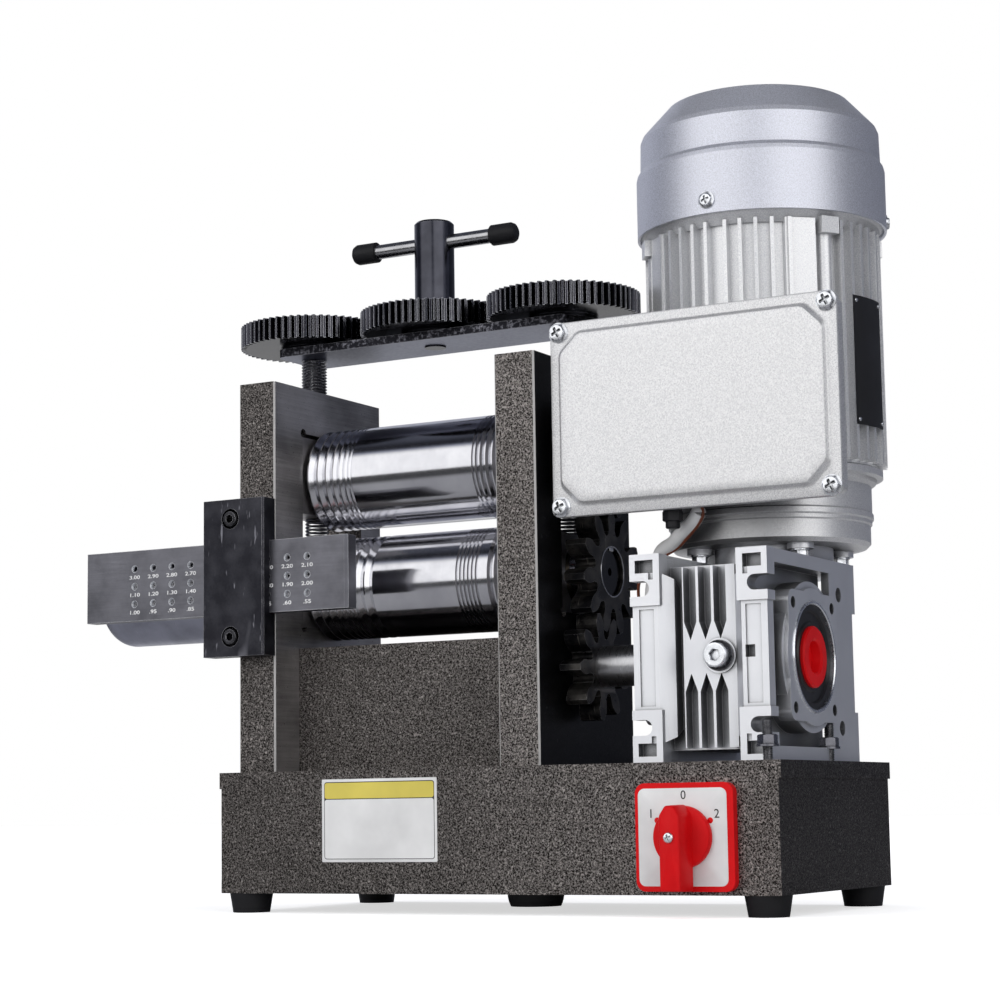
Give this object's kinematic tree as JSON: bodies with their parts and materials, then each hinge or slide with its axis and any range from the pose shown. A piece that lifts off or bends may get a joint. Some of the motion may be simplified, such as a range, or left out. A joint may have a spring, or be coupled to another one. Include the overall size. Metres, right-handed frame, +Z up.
{
  "type": "motor-driven jewellery rolling mill",
  "caption": "Bench rolling mill with two grooved rolls, geared screw-down, wire-drawing plate and drum, worm gearbox and vertical motor.",
  "frame": {"origin": "floor level under the middle of the base box", "axes": "+X right along the rolls towards the motor, +Y to the back, +Z up"},
  "size_m": [0.5562, 0.2218, 0.493],
  "materials": {
    "hammer_paint": "dark bronze hammertone paint",
    "bare_steel": "machined dark steel",
    "roll_steel": "hardened and mirror-polished steel",
    "drum_steel": "satin turned steel",
    "bronze": "bearing bronze",
    "spring_steel": "bright spring wire",
    "draw_steel": "ground tool steel",
    "black_oxide": "black oxide",
    "gear_steel": "oiled black gear steel",
    "rubber": "black rubber",
    "cast_aluminium": "bright blasted casting",
    "silver_paint": "silver paint",
    "shaft_steel": "ground bright steel",
    "seal_rubber": "black lip seal",
    "red_plastic": "red plastic",
    "cable_white": "white sleeve"
  },
  "bodies": {
    "root": {"base_top": "hammer_paint", "base_front": "hammer_paint", "base_rear": "hammer_paint", "base_left_end": "hammer_paint", "base_right_end": "hammer_paint", "base_bottom": "hammer_paint", "rubber_feet": "rubber", "left_side_plate": "hammer_paint", "right_side_plate": "hammer_paint", "front_panel": "hammer_paint", "rear_panel": "hammer_paint", "lower_bearing_blocks": "bare_steel", "lower_bushes": "bronze", "lift_springs": "spring_steel", "draw_plate": "draw_steel", "clamp_block": "black_oxide", "gearbox_housing": "cast_aluminium", "output_seal": "seal_rubber", "red_cap": "red_plastic", "motor_flange": "silver_paint", "motor_body": "silver_paint", "fan_cowl": "silver_paint", "terminal_box": "silver_paint", "terminal_cover": "silver_paint", "supply_cable": "cable_white", "switch_plate": "red_plastic"},
    "lower_roll": {"lower_roll": "roll_steel", "winding_drum": "drum_steel", "lower_roll_gear": "gear_steel"},
    "drive": {"drive_pinion": "gear_steel", "output_shaft": "shaft_steel"},
    "carriage": {"upper_bearing_blocks": "bare_steel", "upper_bushes": "bronze"},
    "upper_roll": {"upper_roll": "roll_steel", "upper_roll_gear": "gear_steel"},
    "bridge": {"bridge_plate": "black_oxide"},
    "handle": {"t_handle": "black_oxide", "handle_bar": "shaft_steel", "handle_caps": "rubber", "centre_adjust_gear": "gear_steel"},
    "left_screw": {"left_adjust_gear": "gear_steel", "left_adjust_screw": "black_oxide"},
    "right_screw": {"right_adjust_gear": "gear_steel", "right_adjust_screw": "black_oxide"},
    "switch_knob": {"switch_knob": "red_plastic"}
  },
  "joints": [
    {"name": "lower_roll_spin", "type": "hinge", "parent": "root", "child": "lower_roll", "pos_m": [0.00355, -0.005, 0.20554], "axis": [1, 0, 0], "continuous": true},
    {"name": "drive_spin", "type": "hinge", "parent": "root", "child": "drive", "pos_m": [0.13795, -0.018, 0.1465], "axis": [1, 0, 0], "continuous": true},
    {"name": "carriage_slide", "type": "slide", "parent": "root", "child": "carriage", "axis": [0, 0, 1], "range_m": [-0.0056, 0.0021], "deforming": ["lift_springs"]},
    {"name": "upper_roll_spin", "type": "hinge", "parent": "carriage", "child": "upper_roll", "pos_m": [0.00355, -0.005, 0.27754], "axis": [1, 0, 0], "continuous": true},
    {"name": "bridge_slide", "type": "slide", "parent": "root", "child": "bridge", "axis": [0, 0, 1], "range_m": [-0.0055, 0.002]},
    {"name": "handle_turn", "type": "hinge", "parent": "bridge", "child": "handle", "pos_m": [-0.07695, -0.005, 0.4], "axis": [0, 0, 1], "range_deg": [-361, 991]},
    {"name": "left_screw_turn", "type": "hinge", "parent": "bridge", "child": "left_screw", "pos_m": [-0.1712, -0.005, 0.4], "axis": [0, 0, 1], "range_deg": [-991, 361]},
    {"name": "right_screw_turn", "type": "hinge", "parent": "bridge", "child": "right_screw", "pos_m": [0.0173, -0.005, 0.4], "axis": [0, 0, 1], "range_deg": [-991, 361]},
    {"name": "switch_turn", "type": "hinge", "parent": "root", "child": "switch_knob", "pos_m": [0.13245, -0.092, 0.0445], "axis": [0, 1, 0], "range_deg": [-60, 60]}
  ],
  "couplings": [
    {"joint": "drive_spin", "follows": "lower_roll_spin", "ratio": -1.2222},
    {"joint": "upper_roll_spin", "follows": "lower_roll_spin", "ratio": -1},
    {"joint": "carriage_slide", "follows": "bridge_slide", "ratio": 1},
    {"joint": "handle_turn", "follows": "bridge_slide", "rad_per_m": -3141.6},
    {"joint": "left_screw_turn", "follows": "bridge_slide", "rad_per_m": 3141.6},
    {"joint": "right_screw_turn", "follows": "bridge_slide", "rad_per_m": 3141.6}
  ]
}
